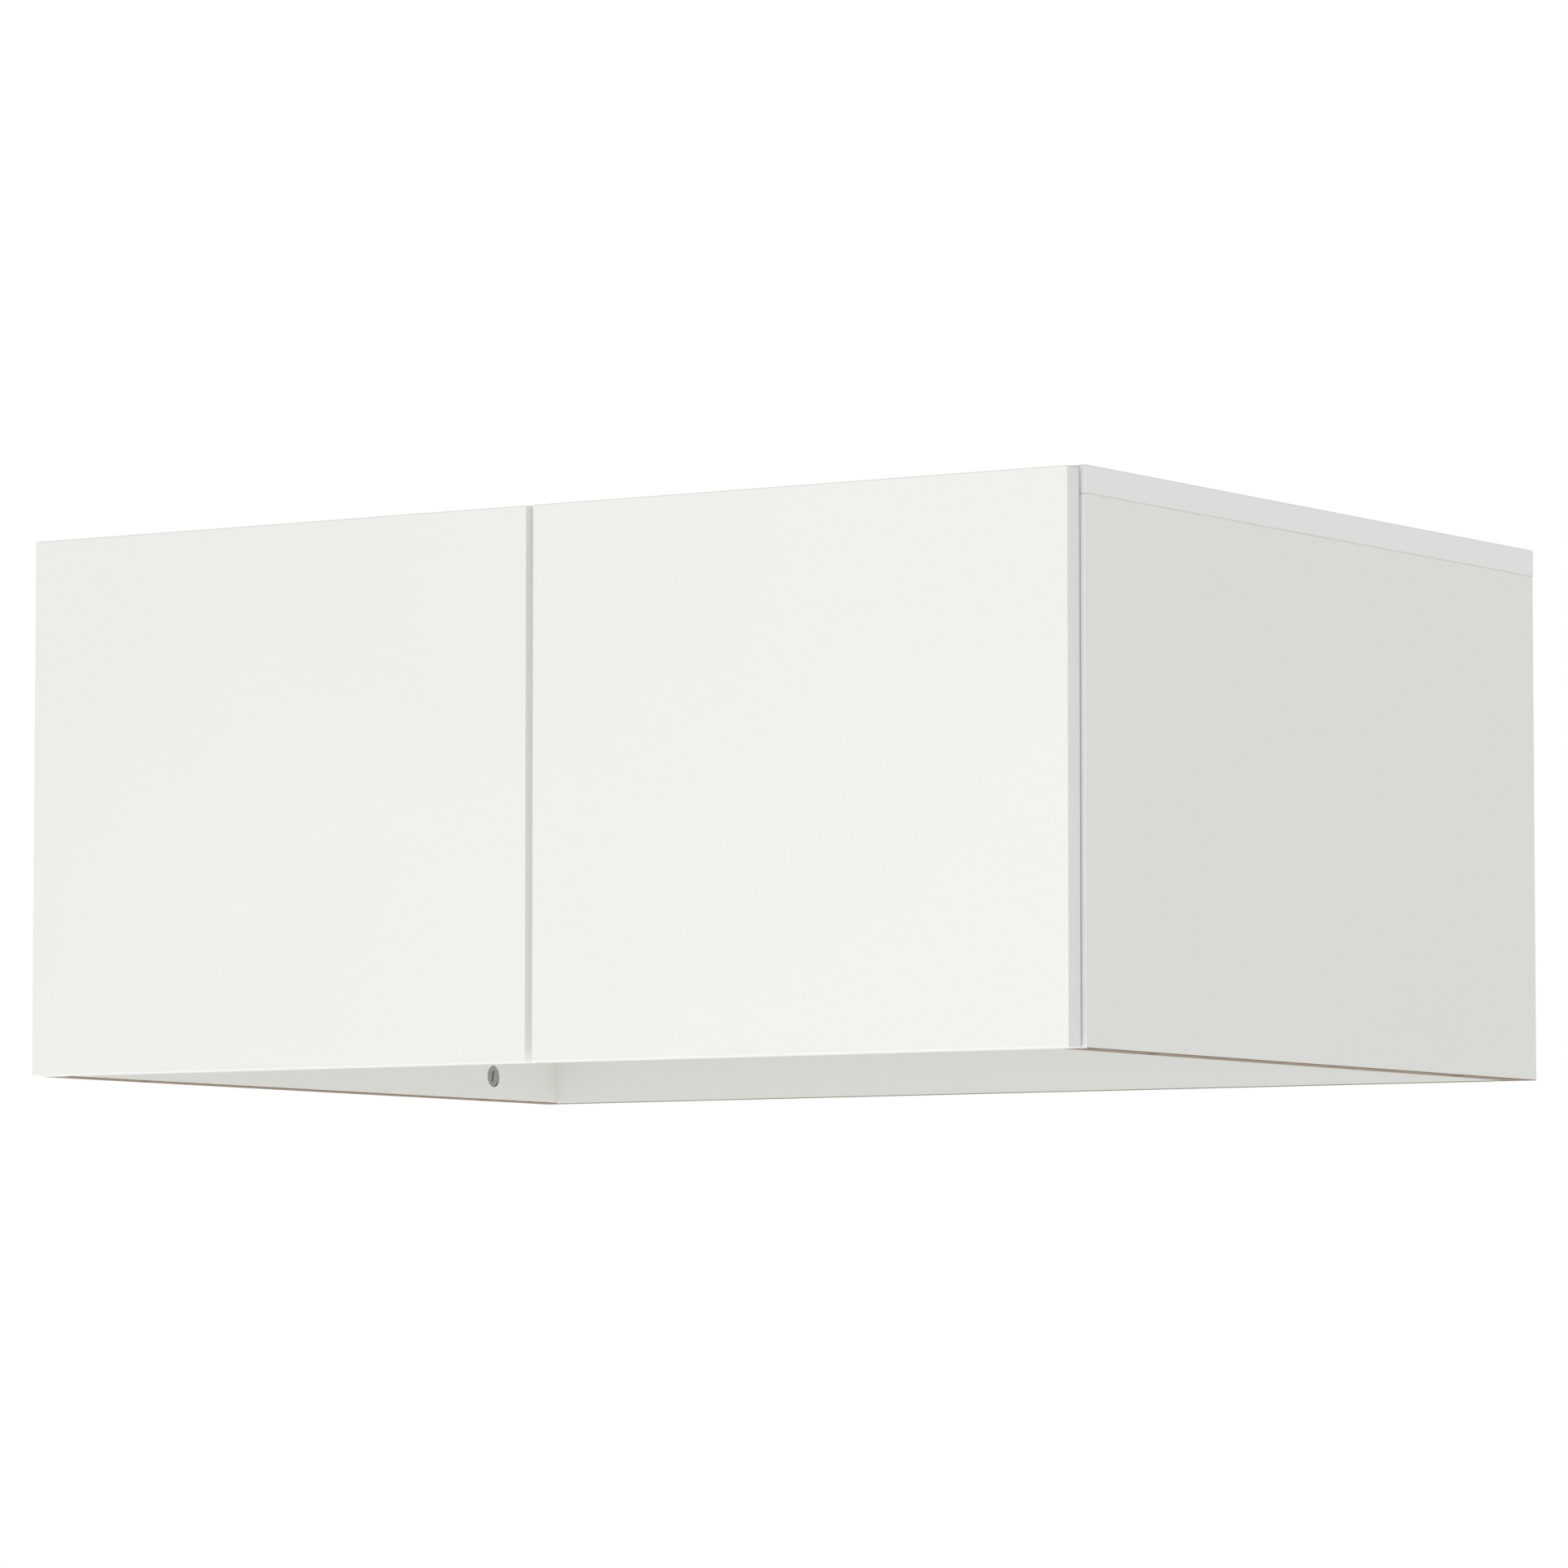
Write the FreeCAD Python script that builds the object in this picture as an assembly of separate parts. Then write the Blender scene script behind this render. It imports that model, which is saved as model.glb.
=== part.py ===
import FreeCAD, Part
import math
import os

# A two-door wall cabinet, in millimetres. The origin is midway between the two wall screws, on the rear
# face. +X is to the right as seen from the front, +Y points into the wall and +Z is up.

# Carcass
CARCASS_WIDTH = 800.0
CARCASS_DEPTH = 585.0
CABINET_HEIGHT = 355.0
BOARD = 18.0
BACK_BOARD = 16.0
TOP_OVERHANG = 0.75
SCREWS_BELOW_TOP = 60.0
WALL_SCREW_SPACING = 640.0
WALL_SCREW_HOLE_R = 3.0
EDGE_ROUND = 0.8

# Doors
DOOR_BOARD = 15.0
DOOR_GAP_TO_CARCASS = 1.5
DOOR_REVEAL = 2.9
DOOR_TO_DOOR = 5.5
DOOR_BELOW_TOP = 1.85
BUMPER_R = 4.0
BUMPER_HEIGHT = 1.1
BUMPER_PLACES = (60.0, 375.0)

# Cam locks, their bolts and the dowels
CAM_R = 7.25
CAM_LENGTH = 11.6
CAM_RECESS = 0.7
CAM_BORE_R = 7.6
CAM_BORE_DEPTH = 12.5
CAM_FROM_JOINT = 16.8
TOP_CAM_FROM_ENDS = 127.0
LOWER_CAM_FROM_ENDS = 95.0
CAM_CAVITY = 7.4
CAM_SLOT = (7.8, 1.5, 2.4)
CAM_SLOT_TILT = 14.0
BOLT_BORE_R = 4.0
BOLT_SHANK_R = 3.0
BOLT_NECK_R = 1.7
BOLT_HEAD_R = 3.2
BOLT_HEAD_LENGTH = 2.6
BOLT_THREAD_R = 2.5
BOLT_THREAD_LENGTH = 10.5
BACK_CAM_BELOW_TOP_BOARD = 60.0
BACK_CAM_ABOVE_LOWER_EDGE = 70.0
DOWEL_R = 3.95
DOWEL_HOLE_R = 4.0
DOWEL_LENGTH = 30.0
DOWEL_IN_TOP = 10.0
DOWEL_FROM_ENDS = 191.0
DOWEL_PITCH_BACK = 240.0
HOLE_SPARE = 0.3

# Concealed hinges. u runs inward from the door's hinge edge, v runs forward from the carcass's front plane,
# and w is the height above the hinge's own centre.
HINGE_INSET = 75.0
CUP_CENTRE_U = 22.5
CUP_R = 17.5
CUP_BORE_R = 17.6
CUP_DEPTH = 11.5
CUP_BORE_DEPTH = 12.0
CUP_WALL = 1.0
CUP_FLANGE = 1.0
CUP_FLANGE_U = (15.6, 36.5)
CUP_FLANGE_HALF = 29.0
CUP_FLANGE_CORNER = 5.0
CUP_SCREW_W = 22.5
CUP_SCREW_U = 32.0
SMALL_SCREW_R = 1.7
SMALL_SCREW_HEAD_R = 3.4
SMALL_SCREW_LENGTH = 9.0
PIN_R = 1.25
PIN_FIT = 0.05
BARREL_R = 2.5
LINK_THICKNESS = 2.2
LINK_HALF = 6.4
CHEEK_INNER = 6.9
CHEEK_OUTER = 8.4
CHEEK_R = 3.0
ARM_WEB = (22.6, 24.1)
ARM_CHEEK_U = 17.6
ARM_REAR_V = -60.0
ARM_FRONT_V = -1.5
PLATE_SETBACK = 37.0
PLATE_THICKNESS = 2.2
PLATE_HALF = 24.0
PLATE_WIDTH = 16.0
PLATE_SCREW_W = 16.0
RAIL_HALF = 6.4
RAIL_V = (-64.0, -14.0)
EURO_SCREW_R = 2.5
EURO_SCREW_LENGTH = 11.0
EURO_SCREW_HEAD = 1.6
ARM_SCREWS_V = (-52.0, -22.0)
ARM_SCREW_R = 2.0

# Screw heads, as shares of the head's height or radius
SCREW_HEAD_EASE = 0.4
SCREW_RECESS_DEPTH = 0.7
SCREW_RECESS_SPAN = 0.6
SCREW_RECESS_WIDTH = 0.24

# The link as (u, v): its pin on the arm, the bend that goes round the cup's rim, and its pin in the cup
LINK_FIXED = (23.3, 7.6)
LINK_BEND = (14.5, 8.8)
LINK_MOVING = (9.9, 4.9)

# Worked out from the driving dimensions
HALF_WIDTH = CARCASS_WIDTH / 2
FRONT_Y = -CARCASS_DEPTH
TOP_Z = SCREWS_BELOW_TOP
TOP_UNDERSIDE = TOP_Z - BOARD
LOWER_Z = TOP_Z - CABINET_HEIGHT
SIDE_INNER = HALF_WIDTH - BOARD
DOOR_EDGE = HALF_WIDTH - DOOR_REVEAL
DOOR_BACK_Y = FRONT_Y - DOOR_GAP_TO_CARCASS
DOOR_FRONT_Y = DOOR_BACK_Y - DOOR_BOARD
DOOR_TOP = TOP_Z - DOOR_BELOW_TOP
HINGE_HEIGHTS = (LOWER_Z + HINGE_INSET, DOOR_TOP - HINGE_INSET)
BOLT_AXIS = BOARD / 2
BACK_BOLT_AXIS = BACK_BOARD / 2
SIDES = {"left": -1, "right": 1}
LEVELS = dict(zip(("lower", "upper"), HINGE_HEIGHTS))

X = FreeCAD.Vector(1, 0, 0)
Y = FreeCAD.Vector(0, 1, 0)
Z = FreeCAD.Vector(0, 0, 1)


def block(x, y, z):
    """A box from three pairs of limits, each pair in any order."""
    low = [min(pair) for pair in (x, y, z)]
    size = [abs(pair[1] - pair[0]) for pair in (x, y, z)]
    return Part.makeBox(*size, FreeCAD.Vector(*low))


def rod(radius, start, direction, length):
    """A cylinder from start along direction."""
    return Part.makeCylinder(radius, length, FreeCAD.Vector(*start), direction)


def joined(shapes):
    """One solid from shapes that touch or overlap."""
    return shapes[0].fuse(shapes[1:]).removeSplitter()


def cut(shape, tools):
    return shape.cut(Part.makeCompound(tools))


def eased(box_shape, radius=EDGE_ROUND):
    """A board with all its edges slightly rounded."""
    return box_shape.makeFillet(radius, box_shape.Edges)


def save(name, shape):
    shape.exportStep(os.path.join("parts", name + ".step"))


def save_group(name, solids):
    save(name, Part.makeCompound(solids))


# ---- Where the fittings sit -------------------------------------------------------------------------------


def side_cam_row(z, towards_joint, from_ends):
    """(start, direction into the board, direction towards the joint) of a row of cams in the side boards."""
    return [
        ((side * SIDE_INNER, y, z), side * X, towards_joint)
        for side in SIDES.values()
        for y in (FRONT_Y + from_ends, -from_ends)
    ]


def top_cams():
    return side_cam_row(TOP_UNDERSIDE - CAM_FROM_JOINT, Z, TOP_CAM_FROM_ENDS)


def lower_cams():
    return side_cam_row(LOWER_Z + CAM_FROM_JOINT, -Z, LOWER_CAM_FROM_ENDS)


def back_cams():
    """The same for the cams in the back board's front face, which pull it to the side boards."""
    heights = (TOP_UNDERSIDE - BACK_CAM_BELOW_TOP_BOARD, LOWER_Z + BACK_CAM_ABOVE_LOWER_EDGE)
    return [
        ((side * (SIDE_INNER - CAM_FROM_JOINT), -BACK_BOARD, z), Y, side * X)
        for side in SIDES.values()
        for z in heights
    ]


def moved(point, *steps):
    """A point moved by (direction, distance) steps."""
    place = FreeCAD.Vector(*point)
    for direction, distance in steps:
        place = place + direction * distance
    return place


def joint_point(cam, bolt_depth):
    """Where a cam's bolt crosses the joint between its two boards."""
    start, inward, towards = cam
    return moved(start, (inward, bolt_depth), (towards, CAM_FROM_JOINT))


def cam_bores(cams):
    return [rod(CAM_BORE_R, start, inward, CAM_BORE_DEPTH) for start, inward, _ in cams]


def bolt_bores(cams, bolt_depth):
    """The wide bore that lets a bolt reach its cam, drilled from the board's edge."""
    return [
        rod(BOLT_BORE_R, joint_point(cam, bolt_depth), -cam[2], CAM_FROM_JOINT - CAM_BORE_R / 2)
        for cam in cams
    ]


def thread_bores(cams, bolt_depth):
    """The narrow blind hole in the other board that the bolt is screwed into."""
    depth = BOLT_THREAD_LENGTH + HOLE_SPARE
    return [
        rod(BOLT_THREAD_R + PIN_FIT, joint_point(cam, bolt_depth), cam[2], depth) for cam in cams
    ]


def side_dowels():
    """Upper ends of the dowels between the side boards and the top board."""
    return [
        (side * (SIDE_INNER + BOLT_AXIS), y, TOP_UNDERSIDE + DOWEL_IN_TOP)
        for side in SIDES.values()
        for y in (FRONT_Y + DOWEL_FROM_ENDS, -DOWEL_FROM_ENDS)
    ]


def back_dowels():
    """Upper ends of the dowels between the back board and the top board."""
    return [
        (step * DOWEL_PITCH_BACK, -BACK_BOLT_AXIS, TOP_UNDERSIDE + DOWEL_IN_TOP)
        for step in (-1, 0, 1)
    ]


def dowel_bores(tops):
    length = DOWEL_LENGTH + 2 * HOLE_SPARE
    return [rod(DOWEL_HOLE_R, (x, y, z + HOLE_SPARE), -Z, length) for x, y, z in tops]


# ---- Carcass boards ---------------------------------------------------------------------------------------


def top_panel():
    reach = HALF_WIDTH + TOP_OVERHANG
    board = eased(block((-reach, reach), (FRONT_Y, 0), (TOP_UNDERSIDE, TOP_Z)))
    bores = thread_bores(top_cams(), BOLT_AXIS) + dowel_bores(side_dowels() + back_dowels())
    return cut(board, bores)


def side_panel(side):
    limits = (side * SIDE_INNER, side * HALF_WIDTH)
    board = block(limits, (FRONT_Y, 0), (LOWER_Z, TOP_UNDERSIDE))
    at_front = [e for e in board.Edges if e.BoundBox.YMax < FRONT_Y + EDGE_ROUND]
    front_edges = [e for e in at_front if e.BoundBox.ZLength > EDGE_ROUND]
    board = board.makeFillet(EDGE_ROUND, front_edges)
    cams = top_cams() + lower_cams()
    bores = cam_bores(cams) + bolt_bores(cams, BOLT_AXIS)
    bores += thread_bores(back_cams(), BACK_BOLT_AXIS) + dowel_bores(side_dowels())
    bores += [plate_screw(side, z, w, HOLE_SPARE) for z, w in plate_screws()]
    return cut(board, bores)


def back_panel():
    board = block((-SIDE_INNER, SIDE_INNER), (-BACK_BOARD, 0), (LOWER_Z, TOP_UNDERSIDE))
    cams = back_cams()
    bores = cam_bores(cams) + bolt_bores(cams, BACK_BOLT_AXIS) + dowel_bores(back_dowels())
    for side in SIDES.values():
        start = (side * WALL_SCREW_SPACING / 2, -BACK_BOARD, 0)
        bores.append(rod(WALL_SCREW_HOLE_R, start, Y, BACK_BOARD))
    return cut(board, bores)


# ---- Carcass fittings -------------------------------------------------------------------------------------


def cam(place, bolt_depth):
    """A round cam with a hollow for the bolt's head and one tilted driver slot in its sunken face."""
    start, inward, towards = place
    face = moved(start, (inward, CAM_RECESS))
    body = rod(CAM_R, face, inward, CAM_LENGTH)
    across = inward.cross(towards)
    middle = moved(start, (inward, bolt_depth))
    reach = (-BOLT_HEAD_R, CAM_R)
    hollow = oriented_block(middle, inward, towards, across, CAM_CAVITY, reach, CAM_CAVITY)
    turned = FreeCAD.Rotation(inward, CAM_SLOT_TILT)
    along, beside = turned.multVec(Z), turned.multVec(inward.cross(Z))
    length, width, depth = CAM_SLOT
    middle = moved(face, (inward, depth / 2))
    slot = oriented_block(middle, inward, along, beside, depth, (-length / 2, length / 2), width)
    return cut(body, [hollow, slot])


def oriented_block(centre, first, second, third, first_size, second_limits, third_size):
    """A box along three square directions, centred on a point along the first and the third."""
    corner = moved(
        centre, (first, -first_size / 2), (second, second_limits[0]), (third, -third_size / 2)
    )
    second_size = second_limits[1] - second_limits[0]
    points = [
        corner,
        moved(corner, (first, first_size)),
        moved(corner, (first, first_size), (second, second_size)),
        moved(corner, (second, second_size)),
        corner,
    ]
    return Part.Face(Part.makePolygon(points)).extrude(third * third_size)


def cam_bolt(place, bolt_depth):
    """A bolt screwed into one board, with a necked head inside the other board's cam."""
    joint = joint_point(place, bolt_depth)
    to_cam = -place[2]
    shank = CAM_FROM_JOINT - CAM_R - HOLE_SPARE
    head_end = CAM_FROM_JOINT + BOLT_HEAD_LENGTH / 2
    head_start = moved(joint, (to_cam, CAM_FROM_JOINT - BOLT_HEAD_LENGTH / 2))
    return joined(
        [
            rod(BOLT_THREAD_R, joint, place[2], BOLT_THREAD_LENGTH),
            rod(BOLT_SHANK_R, joint, to_cam, shank),
            rod(BOLT_NECK_R, joint, to_cam, head_end),
            rod(BOLT_HEAD_R - PIN_FIT, head_start, to_cam, BOLT_HEAD_LENGTH),
        ]
    )


def dowels(tops):
    return [rod(DOWEL_R, top, -Z, DOWEL_LENGTH) for top in tops]


# ---- Doors ------------------------------------------------------------------------------------------------


def door(side):
    limits = (side * DOOR_TO_DOOR / 2, side * DOOR_EDGE)
    board = eased(block(limits, (DOOR_FRONT_Y, DOOR_BACK_Y), (LOWER_Z, DOOR_TOP)))
    bores = []
    for z in HINGE_HEIGHTS:
        mouth = hinge_point(side, CUP_CENTRE_U, DOOR_GAP_TO_CARCASS, z)
        bores.append(rod(CUP_BORE_R, mouth, -Y, CUP_BORE_DEPTH))
        bores += [cup_screw(side, z, w, HOLE_SPARE) for w in (-CUP_SCREW_W, CUP_SCREW_W)]
    return cut(board, bores)


def bumpers(side):
    """Low round pads on the door's back face, where it closes on the top board's front edge."""
    pads = []
    for inset in BUMPER_PLACES:
        start = hinge_point(side, inset, DOOR_GAP_TO_CARCASS, TOP_Z - BOARD / 2)
        pad = rod(BUMPER_R, start, Y, BUMPER_HEIGHT)
        pads.append(pad.makeFillet(BUMPER_HEIGHT / 2, [pad.Edges[0]]))
    return pads


# ---- Concealed hinges -------------------------------------------------------------------------------------


def hinge_point(side, u, v, z):
    """A hinge's (u, v) at a height, in the cabinet's frame."""
    return (side * (DOOR_EDGE - u), FRONT_Y - v, z)


def hinge_block(side, centre, u, v, w):
    x = [side * (DOOR_EDGE - value) for value in u]
    y = [FRONT_Y - value for value in v]
    z = [centre + value for value in w]
    return block(x, y, z)


def pivot_rod(side, centre, pivot, radius, half_length):
    """A cylinder along Z on a pivot's axis, centred on the hinge."""
    return rod(radius, hinge_point(side, *pivot, centre - half_length), Z, 2 * half_length)


def bar(side, centre, first, second, width, half_length):
    """A flat bar between two pivots, as wide as width across the hinge's (u, v) plane."""
    du, dv = second[0] - first[0], second[1] - first[1]
    span = math.hypot(du, dv)
    across = (-dv / span * width / 2, du / span * width / 2)
    corners = [
        (first[0] + across[0], first[1] + across[1]),
        (second[0] + across[0], second[1] + across[1]),
        (second[0] - across[0], second[1] - across[1]),
        (first[0] - across[0], first[1] - across[1]),
    ]
    points = [FreeCAD.Vector(*hinge_point(side, u, v, centre - half_length)) for u, v in corners]
    return Part.Face(Part.makePolygon(points + points[:1])).extrude(Z * 2 * half_length)


def cup_screw(side, z, w, spare=0.0):
    """The shank of a screw that holds the cup, or its pilot hole when spare is added."""
    start = hinge_point(side, CUP_SCREW_U, DOOR_GAP_TO_CARCASS, z + w)
    return rod(SMALL_SCREW_R + spare / 6, start, -Y, SMALL_SCREW_LENGTH + spare)


def plate_screws():
    return [(z, w) for z in HINGE_HEIGHTS for w in (-PLATE_SCREW_W, PLATE_SCREW_W)]


def plate_screw(side, z, w, spare=0.0):
    start = (side * SIDE_INNER, FRONT_Y + PLATE_SETBACK, z + w)
    return rod(EURO_SCREW_R + spare / 6, start, side * X, EURO_SCREW_LENGTH + spare)


def hinge_cup(side, z):
    """A thin-walled round cup with a flange for its two screws and a pocket for the link's moving end."""
    back = DOOR_GAP_TO_CARCASS
    floor = back + CUP_DEPTH - CUP_WALL
    mouth = hinge_point(side, CUP_CENTRE_U, back - CUP_FLANGE, z)
    outside = rod(CUP_R, mouth, -Y, CUP_FLANGE + CUP_DEPTH)
    flange_w = (-CUP_FLANGE_HALF, CUP_FLANGE_HALF)
    flange = hinge_block(side, z, CUP_FLANGE_U, (back, back - CUP_FLANGE), flange_w)
    flange = flange.makeFillet(CUP_FLANGE_CORNER, short_edges(flange, "YLength", CUP_FLANGE))
    rim = rod(CUP_R + CUP_WALL, mouth, -Y, CUP_FLANGE)
    inside = rod(CUP_R - CUP_WALL, mouth, -Y, CUP_FLANGE + CUP_DEPTH - CUP_WALL)
    pocket = (LINK_MOVING[0] - BARREL_R - HOLE_SPARE, CUP_CENTRE_U)
    pocket_w = LINK_HALF + HOLE_SPARE
    holes = [
        inside,
        hinge_block(side, z, pocket, (back - CUP_FLANGE, floor), (-pocket_w, pocket_w)),
        pin_hole(side, z, LINK_MOVING, CUP_R),
    ]
    for w in (-CUP_SCREW_W, CUP_SCREW_W):
        start = hinge_point(side, CUP_SCREW_U, back - CUP_FLANGE, z + w)
        holes.append(rod(SMALL_SCREW_R + PIN_FIT, start, -Y, CUP_FLANGE))
    return cut(joined([outside, flange, rim]), holes)


def short_edges(shape, side, length):
    """The edges of a thin plate that run through its thickness."""
    as_long = [e for e in shape.Edges if abs(e.Length - length) < PIN_FIT]
    return [e for e in as_long if getattr(e.BoundBox, side) > length / 2]


def pin_hole(side, z, pivot, half_length):
    """A hole that holds a pivot's pin."""
    return pivot_rod(side, z, pivot, PIN_R + PIN_FIT / 2, half_length)


def cup_pin_half():
    """Half the length of a pin that ends inside the cup's round wall."""
    reach = abs(CUP_CENTRE_U - LINK_MOVING[0]) + PIN_R
    return math.sqrt(CUP_R**2 - reach**2) - PIN_FIT


def hinge_plate(side, z):
    inner = BOARD - DOOR_REVEAL
    v = (-PLATE_SETBACK - PLATE_WIDTH / 2, -PLATE_SETBACK + PLATE_WIDTH / 2)
    wings = hinge_block(side, z, (inner, inner + PLATE_THICKNESS), v, (-PLATE_HALF, PLATE_HALF))
    wings = wings.makeFillet(PLATE_WIDTH / 3, short_edges(wings, "XLength", PLATE_THICKNESS))
    rail = hinge_block(side, z, (inner, ARM_WEB[0]), RAIL_V, (-RAIL_HALF, RAIL_HALF))
    holes = []
    for w in (-PLATE_SCREW_W, PLATE_SCREW_W):
        start = (side * SIDE_INNER, FRONT_Y + PLATE_SETBACK, z + w)
        holes.append(rod(EURO_SCREW_R + PIN_FIT, start, -side * X, PLATE_THICKNESS))
    holes += [arm_screw_shank(side, z, v, PIN_FIT) for v in ARM_SCREWS_V]
    return cut(joined([wings, rail]), holes)


def arm_screw_shank(side, z, v, spare=0.0):
    """From the arm's outer face down into the rail."""
    start = hinge_point(side, ARM_WEB[1], v, z)
    return rod(ARM_SCREW_R + spare, start, side * X, ARM_WEB[1] - ARM_CHEEK_U)


def hinge_arm(side, z):
    """A channel over the plate's rail, with two cheeks that reach forward into the cup."""
    web = hinge_block(side, z, ARM_WEB, (ARM_REAR_V, ARM_FRONT_V), (-CHEEK_OUTER, CHEEK_OUTER))
    pieces = [web]
    for direction in (-1, 1):
        w = (direction * CHEEK_INNER, direction * CHEEK_OUTER)
        pieces.append(hinge_block(side, z, (ARM_CHEEK_U, ARM_WEB[1]), (ARM_REAR_V, ARM_FRONT_V), w))
        middle = z + sum(w) / 2
        half = (CHEEK_OUTER - CHEEK_INNER) / 2
        root = ((ARM_CHEEK_U + ARM_WEB[1]) / 2, ARM_FRONT_V - CHEEK_R)
        pieces.append(pivot_rod(side, middle, LINK_FIXED, CHEEK_R, half))
        pieces.append(bar(side, middle, root, LINK_FIXED, 2 * CHEEK_R, half))
    holes = [arm_screw_shank(side, z, v, PIN_FIT) for v in ARM_SCREWS_V]
    return cut(joined(pieces), holes + [pin_hole(side, z, LINK_FIXED, CHEEK_OUTER)])


def hinge_link(side, z):
    """A bent bar with a barrel that turns on each of its two pins."""
    pieces = [
        bar(side, z, LINK_FIXED, LINK_BEND, LINK_THICKNESS, LINK_HALF),
        bar(side, z, LINK_BEND, LINK_MOVING, LINK_THICKNESS, LINK_HALF),
        pivot_rod(side, z, LINK_BEND, LINK_THICKNESS / 2, LINK_HALF),
    ]
    ends = (LINK_FIXED, LINK_MOVING)
    pieces += [pivot_rod(side, z, end, BARREL_R, LINK_HALF) for end in ends]
    return cut(joined(pieces), [pivot_rod(side, z, end, PIN_R + PIN_FIT, LINK_HALF) for end in ends])


def screw_head(start, outward, radius, height):
    """A low rounded head standing on start, with a cross recess in its top."""
    head = rod(radius, start, outward, height)
    rims = [e for e in head.Edges if e.Closed]
    centre = FreeCAD.Vector(*start)
    rim = max(rims, key=lambda e: (e.CenterOfMass - centre).dot(outward))
    head = head.makeFillet(height * SCREW_HEAD_EASE, [rim])
    first, second = Z, outward.cross(Z)
    depth = height * SCREW_RECESS_DEPTH
    half, width = radius * SCREW_RECESS_SPAN, radius * SCREW_RECESS_WIDTH
    middle = moved(start, (outward, height - depth / 2))
    arms = [
        oriented_block(middle, outward, along, beside, depth, (-half, half), width)
        for along, beside in ((first, second), (second, first))
    ]
    return cut(head, arms)


def cup_screw_solids(side):
    solids = []
    for z in HINGE_HEIGHTS:
        for w in (-CUP_SCREW_W, CUP_SCREW_W):
            start = hinge_point(side, CUP_SCREW_U, DOOR_GAP_TO_CARCASS - CUP_FLANGE, z + w)
            head = screw_head(start, Y, SMALL_SCREW_HEAD_R, SMALL_SCREW_HEAD_R / 2)
            neck = rod(SMALL_SCREW_R, start, -Y, CUP_FLANGE)
            solids.append(joined([head, neck, cup_screw(side, z, w)]))
    return solids


def plate_screw_solids(side):
    solids = []
    for z, w in plate_screws():
        start = (side * (SIDE_INNER - PLATE_THICKNESS), FRONT_Y + PLATE_SETBACK, z + w)
        head = screw_head(start, -side * X, 2 * EURO_SCREW_R, EURO_SCREW_HEAD)
        neck = rod(EURO_SCREW_R, start, side * X, PLATE_THICKNESS)
        solids.append(joined([head, neck, plate_screw(side, z, w)]))
    return solids


def arm_screw_solids(side):
    solids = []
    for z in HINGE_HEIGHTS:
        for v in ARM_SCREWS_V:
            start = hinge_point(side, ARM_WEB[1], v, z)
            head = screw_head(start, -side * X, 2 * ARM_SCREW_R, ARM_SCREW_R)
            solids.append(joined([head, arm_screw_shank(side, z, v)]))
    return solids


# ---- Everything -------------------------------------------------------------------------------------------


def save_carcass():
    save("top_panel", top_panel())
    save("back_panel", back_panel())
    for name, side in SIDES.items():
        save("side_panel_" + name, side_panel(side))
    save_group("cams_top", [cam(place, BOLT_AXIS) for place in top_cams()])
    save_group("cams_lower", [cam(place, BOLT_AXIS) for place in lower_cams()])
    save_group("cams_back", [cam(place, BACK_BOLT_AXIS) for place in back_cams()])
    save_group("cam_bolts_top", [cam_bolt(place, BOLT_AXIS) for place in top_cams()])
    save_group("cam_bolts_back", [cam_bolt(place, BACK_BOLT_AXIS) for place in back_cams()])
    save_group("dowels_sides", dowels(side_dowels()))
    save_group("dowels_back", dowels(back_dowels()))


def save_doors():
    for name, side in SIDES.items():
        save("door_" + name, door(side))
        save_group("bumpers_" + name, bumpers(side))


def save_hinges():
    for name, side in SIDES.items():
        for level, z in LEVELS.items():
            place = name + "_" + level
            save("hinge_cup_" + place, hinge_cup(side, z))
            save("hinge_arm_" + place, hinge_arm(side, z))
            save("hinge_plate_" + place, hinge_plate(side, z))
            save("hinge_link_" + place, hinge_link(side, z))
        heights = LEVELS.values()
        arm_pins = [pivot_rod(side, z, LINK_FIXED, PIN_R, CHEEK_OUTER) for z in heights]
        cup_pins = [pivot_rod(side, z, LINK_MOVING, PIN_R, cup_pin_half()) for z in heights]
        save_group("hinge_arm_pins_" + name, arm_pins)
        save_group("hinge_cup_pins_" + name, cup_pins)
        save_group("cup_screws_" + name, cup_screw_solids(side))
        save_group("plate_screws_" + name, plate_screw_solids(side))
        save_group("arm_screws_" + name, arm_screw_solids(side))


os.makedirs("parts", exist_ok=True)
save_carcass()
save_doors()
save_hinges()
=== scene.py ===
import math
import bpy
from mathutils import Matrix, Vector


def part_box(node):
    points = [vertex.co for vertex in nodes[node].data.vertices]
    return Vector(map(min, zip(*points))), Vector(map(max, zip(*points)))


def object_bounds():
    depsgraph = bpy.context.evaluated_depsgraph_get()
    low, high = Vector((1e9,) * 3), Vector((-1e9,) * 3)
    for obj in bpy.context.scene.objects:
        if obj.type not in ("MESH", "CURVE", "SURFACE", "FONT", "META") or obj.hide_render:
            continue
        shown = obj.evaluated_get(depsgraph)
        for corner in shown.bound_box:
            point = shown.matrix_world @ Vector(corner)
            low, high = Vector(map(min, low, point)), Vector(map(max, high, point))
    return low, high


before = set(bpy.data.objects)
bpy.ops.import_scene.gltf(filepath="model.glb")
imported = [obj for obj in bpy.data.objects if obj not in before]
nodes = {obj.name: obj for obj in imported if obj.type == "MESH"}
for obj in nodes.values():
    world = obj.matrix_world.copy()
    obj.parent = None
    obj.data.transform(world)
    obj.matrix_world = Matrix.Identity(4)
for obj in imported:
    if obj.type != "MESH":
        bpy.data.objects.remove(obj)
cad_low, cad_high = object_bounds()

# ---- Camera and stage, in metres and degrees ---------------------------------------------------------

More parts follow.
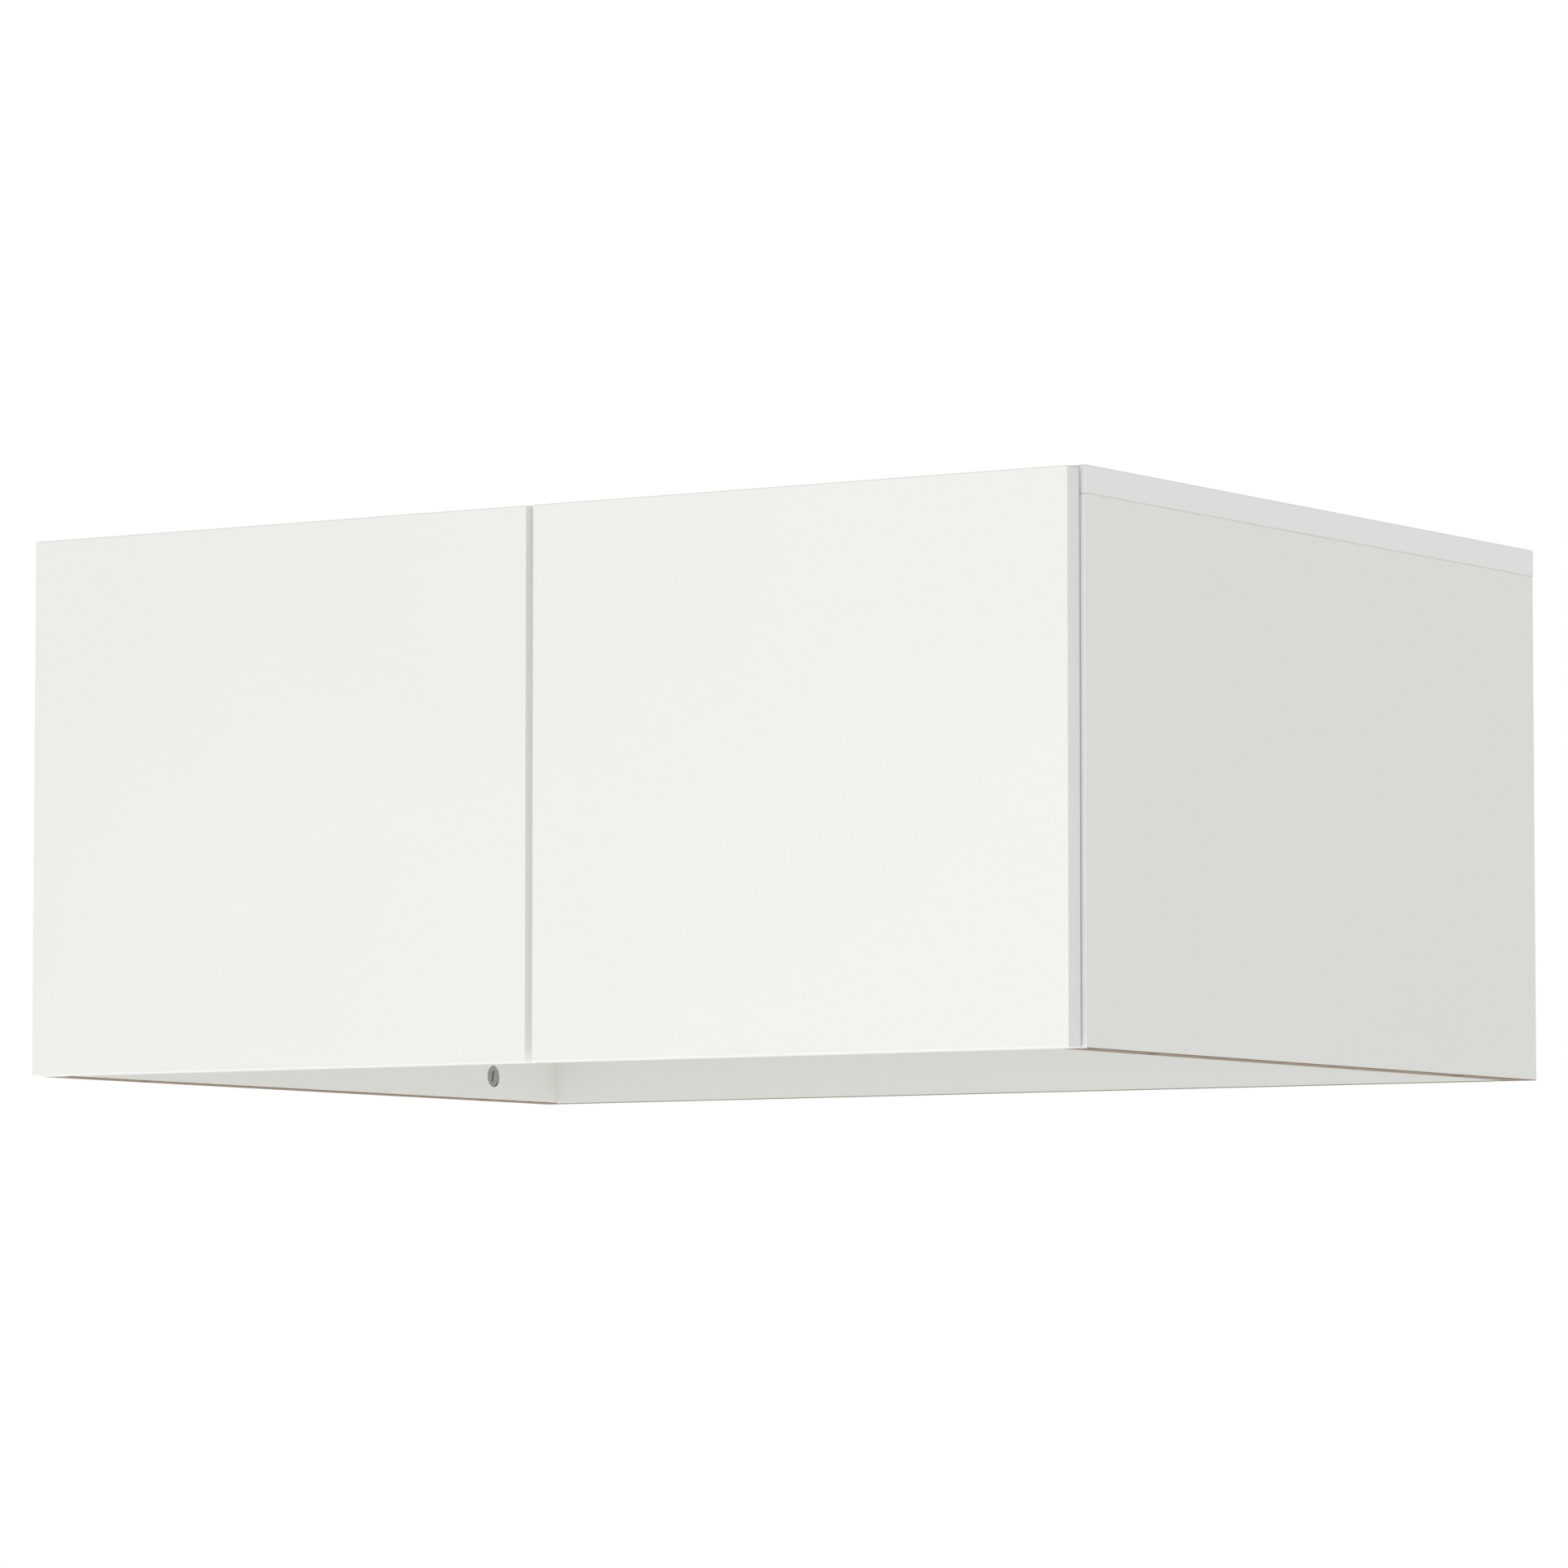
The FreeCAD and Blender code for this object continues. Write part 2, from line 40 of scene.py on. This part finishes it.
CAMERA_AZIMUTH = 32.98
CAMERA_PITCH = 4.447
CAMERA_OFFSET = Vector((2.8351, -4.3730, -0.3873))  # from the middle of the CAD box
SENSOR_WIDTH = 36.0
LENS = 180.72
FLOOR_BELOW_TOP = 2.36  # the height at which such a cabinet hangs
FLOOR_HALF = 60.0
SKY_LIGHT = 0.545
SKY_SEEN = 1.0
KEY = (30.0, 1.8, Vector((1.2, -4.0, 0.4)))  # watts, width, and place from the middle of the CAD box
FILL = (5.0, 1.6, Vector((2.0, 2.7, 0.4)))
OVERHEAD = (14.0, 2.4, Vector((-0.3, 0.5, 3.6)))
UNDER = (12.0, 1.4, Vector((0.25, -2.4, -1.7)))

# ---- Colours, linear ---------------------------------------------------------------------------------

FOIL = (0.875, 0.885, 0.842)
# Lighter copy of FOIL for the back panel: painted light, brighter than the foil of the other boards.
BACK_FOIL_LIT = (0.97, 0.975, 0.955)
EDGE_BAND = (0.902, 0.902, 0.884)
FRONT_BAND = (0.85, 0.85, 0.834)
# Greyer band on the carcass boards' front strip: painted shade, standing in for the doors' shadow on the
# reveal.
CARCASS_FRONT_SHADE = (0.80, 0.80, 0.782)
# Darker line on the top board's lower rounding: painted shade, standing in for the shadow under its overhang.
SHADE_LINE_COLOUR = (0.52, 0.52, 0.49)
SHADE_LINE_STRENGTH = 0.6
# Whiter band on the doors' meeting edges: painted light, lifting the shade in the gap between the doors.
MEETING_EDGE_LIGHT = (0.97, 0.978, 0.955)
CHIPBOARD = ((0.27, 0.19, 0.118), (0.17, 0.115, 0.07), (0.39, 0.295, 0.198))
# Tint for the sawn lower edges: a stronger brown, darkened as painted shade.
LOWER_EDGE_BROWN_AND_SHADE = (0.72, 0.56, 0.34)
ZINC = (0.43, 0.43, 0.405)
NICKEL = (0.66, 0.64, 0.60)
PLATED_STEEL = (0.60, 0.61, 0.62)
BEECH = ((0.60, 0.42, 0.25), (0.50, 0.33, 0.18))
PAD = (0.80, 0.80, 0.79)
FLOOR = (0.90, 0.90, 0.90)
FLOOR_GLOW = 0.375

# ---- Sizes on the boards, in metres ------------------------------------------------------------------

MM = 0.001
BORE_FROM_SURFACE = 1.2 * MM  # what lies deeper in a board's box than this is the wall of a bore
EDGE_ROUND = 0.8 * MM
SAWN_ROUND = 0.4 * MM  # the part of the lower rounding that shows raw chipboard

# ---- Relief of the surfaces, in metres, and scale of the textures, in features per metre -------------

GRAIN_ALONG = 0.06  # scale of the foil's grain along its direction, against 1 across it
GRAIN_SCALE = 900
GRAIN_RELIEF = 0.02 * MM
FOIL_SPECK_SCALE = 780
FOIL_CLOUD_SCALE = 5.0
FOIL_WAVE_SCALE = 160
FOIL_WAVE_RELIEF = 0.03 * MM
BAND_SPECK_SCALE = 1400
CHIP_SCALE = 420
CHIP_SHAPE = (0.42, 0.42, 1.0)  # chips lie flat, so they are long along X and Y
CHIP_FINE_SCALE = 2600
FINE_RELIEF = 0.01 * MM
COARSE_RELIEF = 0.05 * MM
BOARD_SPECULAR = 0.42
FACING_FADE = (0.45, 0.75)  # where the edge's own colour fades in, along one part of the surface's normal
STRAIGHT_DOWN = -0.98  # Z of the normal, below which a surface counts as the underside


class Material:
    """A node material on one Principled shader, with short calls for what the materials here share."""

    def __init__(self, name, roughness=0.5, metallic=0.0):
        self.material = bpy.data.materials.new(name)
        self.material.use_nodes = True
        self.tree = self.material.node_tree
        self.shader = self.tree.nodes["Principled BSDF"]
        self.shader.inputs["Roughness"].default_value = roughness
        self.shader.inputs["Metallic"].default_value = metallic
        self.place = self.add("ShaderNodeTexCoord").outputs["Object"]
        self.height = None

    def add(self, kind, **settings):
        node = self.tree.nodes.new(kind)
        for key, value in settings.items():
            setattr(node, key, value)
        return node

    def link(self, source, target):
        self.tree.links.new(source, target)

    def math(self, operation, first, second=0.0, third=0.0):
        node = self.add("ShaderNodeMath", operation=operation)
        for socket, value in zip(node.inputs, (first, second, third)):
            if isinstance(value, (int, float)):
                socket.default_value = value
            else:
                self.link(value, socket)
        return node.outputs[0]

    def stretched(self, scale):
        """Object coordinates, scaled by a different amount along each axis."""
        node = self.add("ShaderNodeMapping")
        self.link(self.place, node.inputs["Vector"])
        node.inputs["Scale"].default_value = scale
        return node.outputs["Vector"]

    def noise(self, scale, detail=3.0, stretch=(1, 1, 1)):
        """Noise from 0 to 1 with scale in features per metre."""
        node = self.add("ShaderNodeTexNoise")
        self.link(self.stretched(stretch), node.inputs["Vector"])
        node.inputs["Scale"].default_value = scale
        node.inputs["Detail"].default_value = detail
        return node.outputs["Fac"]

    def cells(self, scale, stretch, output="Color"):
        """Voronoi cells: one random colour for each, or the distance from its middle."""
        node = self.add("ShaderNodeTexVoronoi")
        self.link(self.stretched(stretch), node.inputs["Vector"])
        node.inputs["Scale"].default_value = scale
        return node.outputs[output]

    def between(self, value, low, high, to_low=0.0, to_high=1.0):
        """The value moved from the range low..high to the range to_low..to_high."""
        node = self.add("ShaderNodeMapRange")
        for socket, number in zip(list(node.inputs)[1:5], (low, high, to_low, to_high)):
            socket.default_value = number
        self.link(value, node.inputs["Value"])
        return node.outputs["Result"]

    def mix(self, factor, first, second):
        """The first colour where factor is 0 and the second where it is 1."""
        node = self.add("ShaderNodeMix", data_type="RGBA")
        for socket, value in zip((node.inputs[0], node.inputs[6], node.inputs[7]), (factor, first, second)):
            if isinstance(value, (int, float)):
                socket.default_value = value
            elif isinstance(value, tuple):
                socket.default_value = (*value, 1.0)
            else:
                self.link(value, socket)
        return node.outputs[2]

    def split(self, vector):
        node = self.add("ShaderNodeSeparateXYZ")
        self.link(vector, node.inputs[0])
        return node.outputs

    def normal(self):
        """The surface's own normal, which is fixed to the mesh."""
        return self.split(self.add("ShaderNodeTexCoord").outputs["Normal"])

    def colour(self, value):
        self.link(value, self.shader.inputs["Base Color"])

    def roughness(self, value, low, high):
        self.link(self.between(value, 0.3, 0.7, low, high), self.shader.inputs["Roughness"])

    def bump(self, value, depth, strength=1.0):
        """Relief from a 0 to 1 value, depth metres high, added to any bump made before."""
        node = self.add("ShaderNodeBump")
        node.inputs["Distance"].default_value = depth
        node.inputs["Strength"].default_value = strength
        self.link(value, node.inputs["Height"])
        if self.height is not None:
            self.link(self.height, node.inputs["Normal"])
        self.height = node.outputs["Normal"]
        self.link(self.height, self.shader.inputs["Normal"])


def shade(colour, factor):
    """The colour made darker or lighter, with no channel over 1."""
    return tuple(min(1.0, c * factor) for c in colour)


# ---- Board materials ---------------------------------------------------------------------------------


def foil_colour(m, grain_along, foil):
    """White foil with a very faint grain along one axis and slow cloudy variation."""
    stretch = [1.0, 1.0, 1.0]
    stretch["XYZ".index(grain_along)] = GRAIN_ALONG
    grain = m.noise(GRAIN_SCALE, 4.0, tuple(stretch))
    speck = m.noise(FOIL_SPECK_SCALE, 2.0)
    cloud = m.noise(FOIL_CLOUD_SCALE, 2.0)
    base = m.mix(m.between(cloud, 0.3, 0.7), shade(foil, 0.988), shade(foil, 1.008))
    m.bump(grain, GRAIN_RELIEF, 0.35)
    m.bump(m.noise(FOIL_WAVE_SCALE, 2.0), FOIL_WAVE_RELIEF, 0.25)
    base = m.mix(m.between(speck, 0.35, 0.65, 0.0, 0.10), base, shade(foil, 0.80))
    return m.mix(m.between(grain, 0.35, 0.65, 0.0, 0.05), base, shade(foil, 0.80)), grain


def band_colour(m, band):
    """Plastic edge band with a very fine speckle."""
    speck = m.noise(BAND_SPECK_SCALE, 2.0)
    return m.mix(m.between(speck, 0.35, 0.65, 0.0, 0.08), band, shade(band, 0.8))


def chipboard_colour(m, tint=(1.0, 1.0, 1.0)):
    """Pressed wood chips: flat flakes of three browns with dark gaps, as a sawn raw edge shows them. The tint
    multiplies all three."""
    base, dark, light = (tuple(c * t for c, t in zip(colour, tint)) for colour in CHIPBOARD)
    tone = m.split(m.cells(CHIP_SCALE, CHIP_SHAPE))[0]
    fine = m.noise(CHIP_FINE_SCALE, 3.0)
    gaps = m.cells(CHIP_SCALE, CHIP_SHAPE, "Distance")
    brown = m.mix(tone, base, light)
    brown = m.mix(m.between(fine, 0.35, 0.7, 0.0, 0.55), brown, dark)
    return m.mix(m.between(gaps, 0.45, 0.8, 0.0, 0.6), brown, shade(dark, 0.6))


def facing(m, axis, sign=0):
    """1 where the surface faces along an axis, on one side only when a sign is given."""
    part = m.normal()["XYZ".index(axis)]
    value = m.math("ABSOLUTE", part) if sign == 0 else m.math("MULTIPLY", part, sign)
    return m.between(value, *FACING_FADE)


def shaded_lower_rounding(m, low):
    """1 on the rounding along a board's lower edges, where painted shade darkens the seam to the board below.
    """
    near = m.math("LESS_THAN", m.split(m.place)[2], low[2] + EDGE_ROUND)
    not_underside = m.math("GREATER_THAN", m.normal()[2], STRAIGHT_DOWN)
    return m.math("MULTIPLY", near, not_underside)


def board(node, faces_along, raw=(), grain_along="X", foil=FOIL, meeting_side=0):
    """A foiled board: faces on one axis, white bands on its edges, raw chipboard on the edges in raw and
    inside its bores. Each entry in raw is (axis, sign). A door's band is painted whiter on its meeting edge,
    the one that faces meeting_side along X, as painted light in the gap between the doors. Any other board
    has meeting_side 0 and a greyer band along its front, painted shade where the doors shade it."""
    m = Material("board_" + node, 0.42)
    faces, grain = foil_colour(m, grain_along, foil)
    bands = band_colour(m, FRONT_BAND if meeting_side else EDGE_BAND)
    # Painted light: a whiter band on the door's meeting edge lifts the shade in the gap between the doors.
    if meeting_side:
        bands = m.mix(facing(m, "X", meeting_side), bands, band_colour(m, MEETING_EDGE_LIGHT))
    colour = m.mix(facing(m, faces_along), bands, faces)
    chips = chipboard_colour(m)
    low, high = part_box(node)
    for axis, sign in raw:
        # The sawn lower edges take a darker, browner tint: the darkening is painted shade.
        if (axis, sign) == ("Z", -1):
            sawn = m.math("LESS_THAN", m.split(m.place)[2], low[2] + SAWN_ROUND)
            colour = m.mix(sawn, colour, chipboard_colour(m, LOWER_EDGE_BROWN_AND_SHADE))
        else:
            colour = m.mix(facing(m, axis, sign), colour, chips)
    # Painted shade: a greyer band on everything within EDGE_ROUND of a carcass board's front, for the doors'
    # shadow on the reveal.
    if not meeting_side:
        front = m.math("LESS_THAN", m.split(m.place)[1], low[1] + EDGE_ROUND)
        colour = m.mix(front, colour, band_colour(m, CARCASS_FRONT_SHADE))
    # Painted shade: a darker line on the top board's lower rounding, for the shadow under its overhang.
    if node == "top_panel":
        colour = m.mix(m.math("MULTIPLY", shaded_lower_rounding(m, low), SHADE_LINE_STRENGTH), colour, SHADE_LINE_COLOUR)
    m.colour(m.mix(inside_bores(m, low, high), colour, chips))
    m.roughness(grain, 0.40, 0.50)
    m.shader.inputs["Specular IOR Level"].default_value = BOARD_SPECULAR
    return m


def inside_bores(m, low, high):
    """1 on the walls of a board's bores: everything that lies clearly inside the board's own box."""
    place = m.split(m.place)
    inside = 1.0
    for axis in range(3):
        above = m.math("GREATER_THAN", place[axis], low[axis] + BORE_FROM_SURFACE)
        below = m.math("LESS_THAN", place[axis], high[axis] - BORE_FROM_SURFACE)
        inside = m.math("MULTIPLY", m.math("MULTIPLY", above, below), inside)
    return inside


# ---- Metal, wood and pad materials -------------------------------------------------------------------


def cast_zinc():
    m = Material("zinc_casting", 0.42, 0.85)
    pits = m.noise(1500, 4.0)
    m.colour(m.mix(m.between(pits, 0.35, 0.65), shade(ZINC, 0.8), shade(ZINC, 1.12)))
    m.roughness(m.noise(700, 3.0), 0.36, 0.6)
    m.bump(pits, COARSE_RELIEF, 0.6)
    return m


def satin_nickel():
    m = Material("nickel_satin", 0.3, 1.0)
    brushing = m.noise(1300, 3.0, (1.0, 0.05, 1.0))
    m.colour(m.mix(m.between(brushing, 0.3, 0.7), shade(NICKEL, 0.92), shade(NICKEL, 1.05)))
    m.roughness(brushing, 0.24, 0.38)
    m.bump(brushing, FINE_RELIEF, 0.4)
    return m


def bright_steel():
    m = Material("steel_zinc_plated", 0.3, 1.0)
    drawn = m.noise(1800, 3.0, (1.0, 1.0, 0.1))
    m.colour(m.mix(m.between(drawn, 0.3, 0.7), shade(PLATED_STEEL, 0.9), shade(PLATED_STEEL, 1.06)))
    m.roughness(drawn, 0.22, 0.4)
    m.bump(drawn, FINE_RELIEF, 0.4)
    return m


def turned_beech():
    m = Material("beech_dowel", 0.6)
    fibre = m.noise(900, 4.0, (1.0, 1.0, 0.08))
    m.colour(m.mix(fibre, *BEECH))
    m.roughness(fibre, 0.55, 0.75)
    m.bump(fibre, COARSE_RELIEF, 0.5)
    return m


def clear_pad():
    m = Material("clear_pad", 0.35)
    haze = m.noise(1200, 2.0)
    m.colour(m.mix(haze, shade(PAD, 0.92), PAD))
    m.roughness(haze, 0.3, 0.45)
    m.bump(haze, GRAIN_RELIEF, 0.3)
    m.shader.inputs["Subsurface Weight"].default_value = 0.2
    m.shader.inputs["Subsurface Scale"].default_value = 0.002
    return m


def dress(name, material):
    """Gives a CAD node its finished material."""
    for slot in nodes[name].material_slots:
        slot.material = material.material


def dress_all():
    down, back, up = ("Z", -1), ("Y", 1), ("Z", 1)
    boards = {
        "top_panel": ("Z", [back], "X"),
        "side_panel_left": ("X", [down, back, up], "Y"),
        "side_panel_right": ("X", [down, back, up], "Y"),
        "back_panel": ("Y", [down, up], "X", BACK_FOIL_LIT),
        "door_left": ("Y", [], "X", FOIL, 1),
        "door_right": ("Y", [], "X", FOIL, -1),
    }
    for node, settings in boards.items():
        dress(node, board(node, *settings))
    groups = [
        (cast_zinc(), ("cams_",)),
        (satin_nickel(), ("hinge_cup_left", "hinge_cup_right", "hinge_arm_left", "hinge_arm_right",
                          "hinge_plate_", "hinge_link_")),
        (bright_steel(), ("cam_bolts_", "hinge_arm_pins", "hinge_cup_pins", "cup_screws", "plate_screws",
                          "arm_screws")),
        (turned_beech(), ("dowels_",)),
        (clear_pad(), ("bumpers_",)),
    ]
    for material, starts in groups:
        for name in nodes:
            if name.startswith(starts):
                dress(name, material)


# ---- Stage -------------------------------------------------------------------------------------------


def make_floor():
    z = cad_high.z - FLOOR_BELOW_TOP
    corners = [(-1, -1), (1, -1), (1, 1), (-1, 1)]
    mesh = bpy.data.meshes.new("floor")
    mesh.from_pydata([(x * FLOOR_HALF, y * FLOOR_HALF, z) for x, y in corners], [], [(0, 1, 2, 3)])
    floor = bpy.data.objects.new("floor", mesh)
    bpy.context.scene.collection.objects.link(floor)
    m = Material("floor_pale", 0.8)
    m.colour(m.mix(m.noise(0.4, 2.0), shade(FLOOR, 0.995), FLOOR))
    m.shader.inputs["Emission Color"].default_value = (1, 1, 1, 1)
    m.shader.inputs["Emission Strength"].default_value = FLOOR_GLOW
    mesh.materials.append(m.material)


def make_sky():
    """Even white light all round; the camera sees it as plain white."""
    world = bpy.data.worlds.new("studio")
    bpy.context.scene.world = world
    world.use_nodes = True
    tree = world.node_tree
    sky = tree.nodes["Background"]
    sky.inputs["Color"].default_value = (1, 1, 1, 1)
    path = tree.nodes.new("ShaderNodeLightPath")
    level = tree.nodes.new("ShaderNodeMapRange")
    tree.links.new(path.outputs["Is Camera Ray"], level.inputs["Value"])
    level.inputs["To Min"].default_value = SKY_LIGHT
    level.inputs["To Max"].default_value = SKY_SEEN
    tree.links.new(level.outputs["Result"], sky.inputs["Strength"])


def make_light(name, middle, settings):
    """A square soft light that shines at the middle of the cabinet, unseen by the camera."""
    power, size, offset = settings
    data = bpy.data.lights.new(name, "AREA")
    data.energy = power
    data.shape = "SQUARE"
    data.size = size
    light = bpy.data.objects.new(name, data)
    bpy.context.scene.collection.objects.link(light)
    light.location = middle + offset
    light.rotation_euler = (-offset).to_track_quat("-Z", "Y").to_euler()
    light.visible_camera = False


def make_camera(middle):
    data = bpy.data.cameras.new("camera")
    data.sensor_width = SENSOR_WIDTH
    data.lens = LENS
    data.clip_end = 4 * FLOOR_HALF
    camera = bpy.data.objects.new("camera", data)
    bpy.context.scene.collection.objects.link(camera)
    camera.location = middle + CAMERA_OFFSET
    camera.rotation_euler = (math.radians(90 + CAMERA_PITCH), 0, math.radians(CAMERA_AZIMUTH))
    bpy.context.scene.camera = camera


middle = (cad_low + cad_high) / 2
make_camera(middle)
make_sky()
make_light("key", middle, KEY)
make_light("fill", middle, FILL)
make_light("overhead", middle, OVERHEAD)
make_light("under", middle, UNDER)
make_floor()
dress_all()
bpy.context.scene.view_settings.view_transform = "Standard"
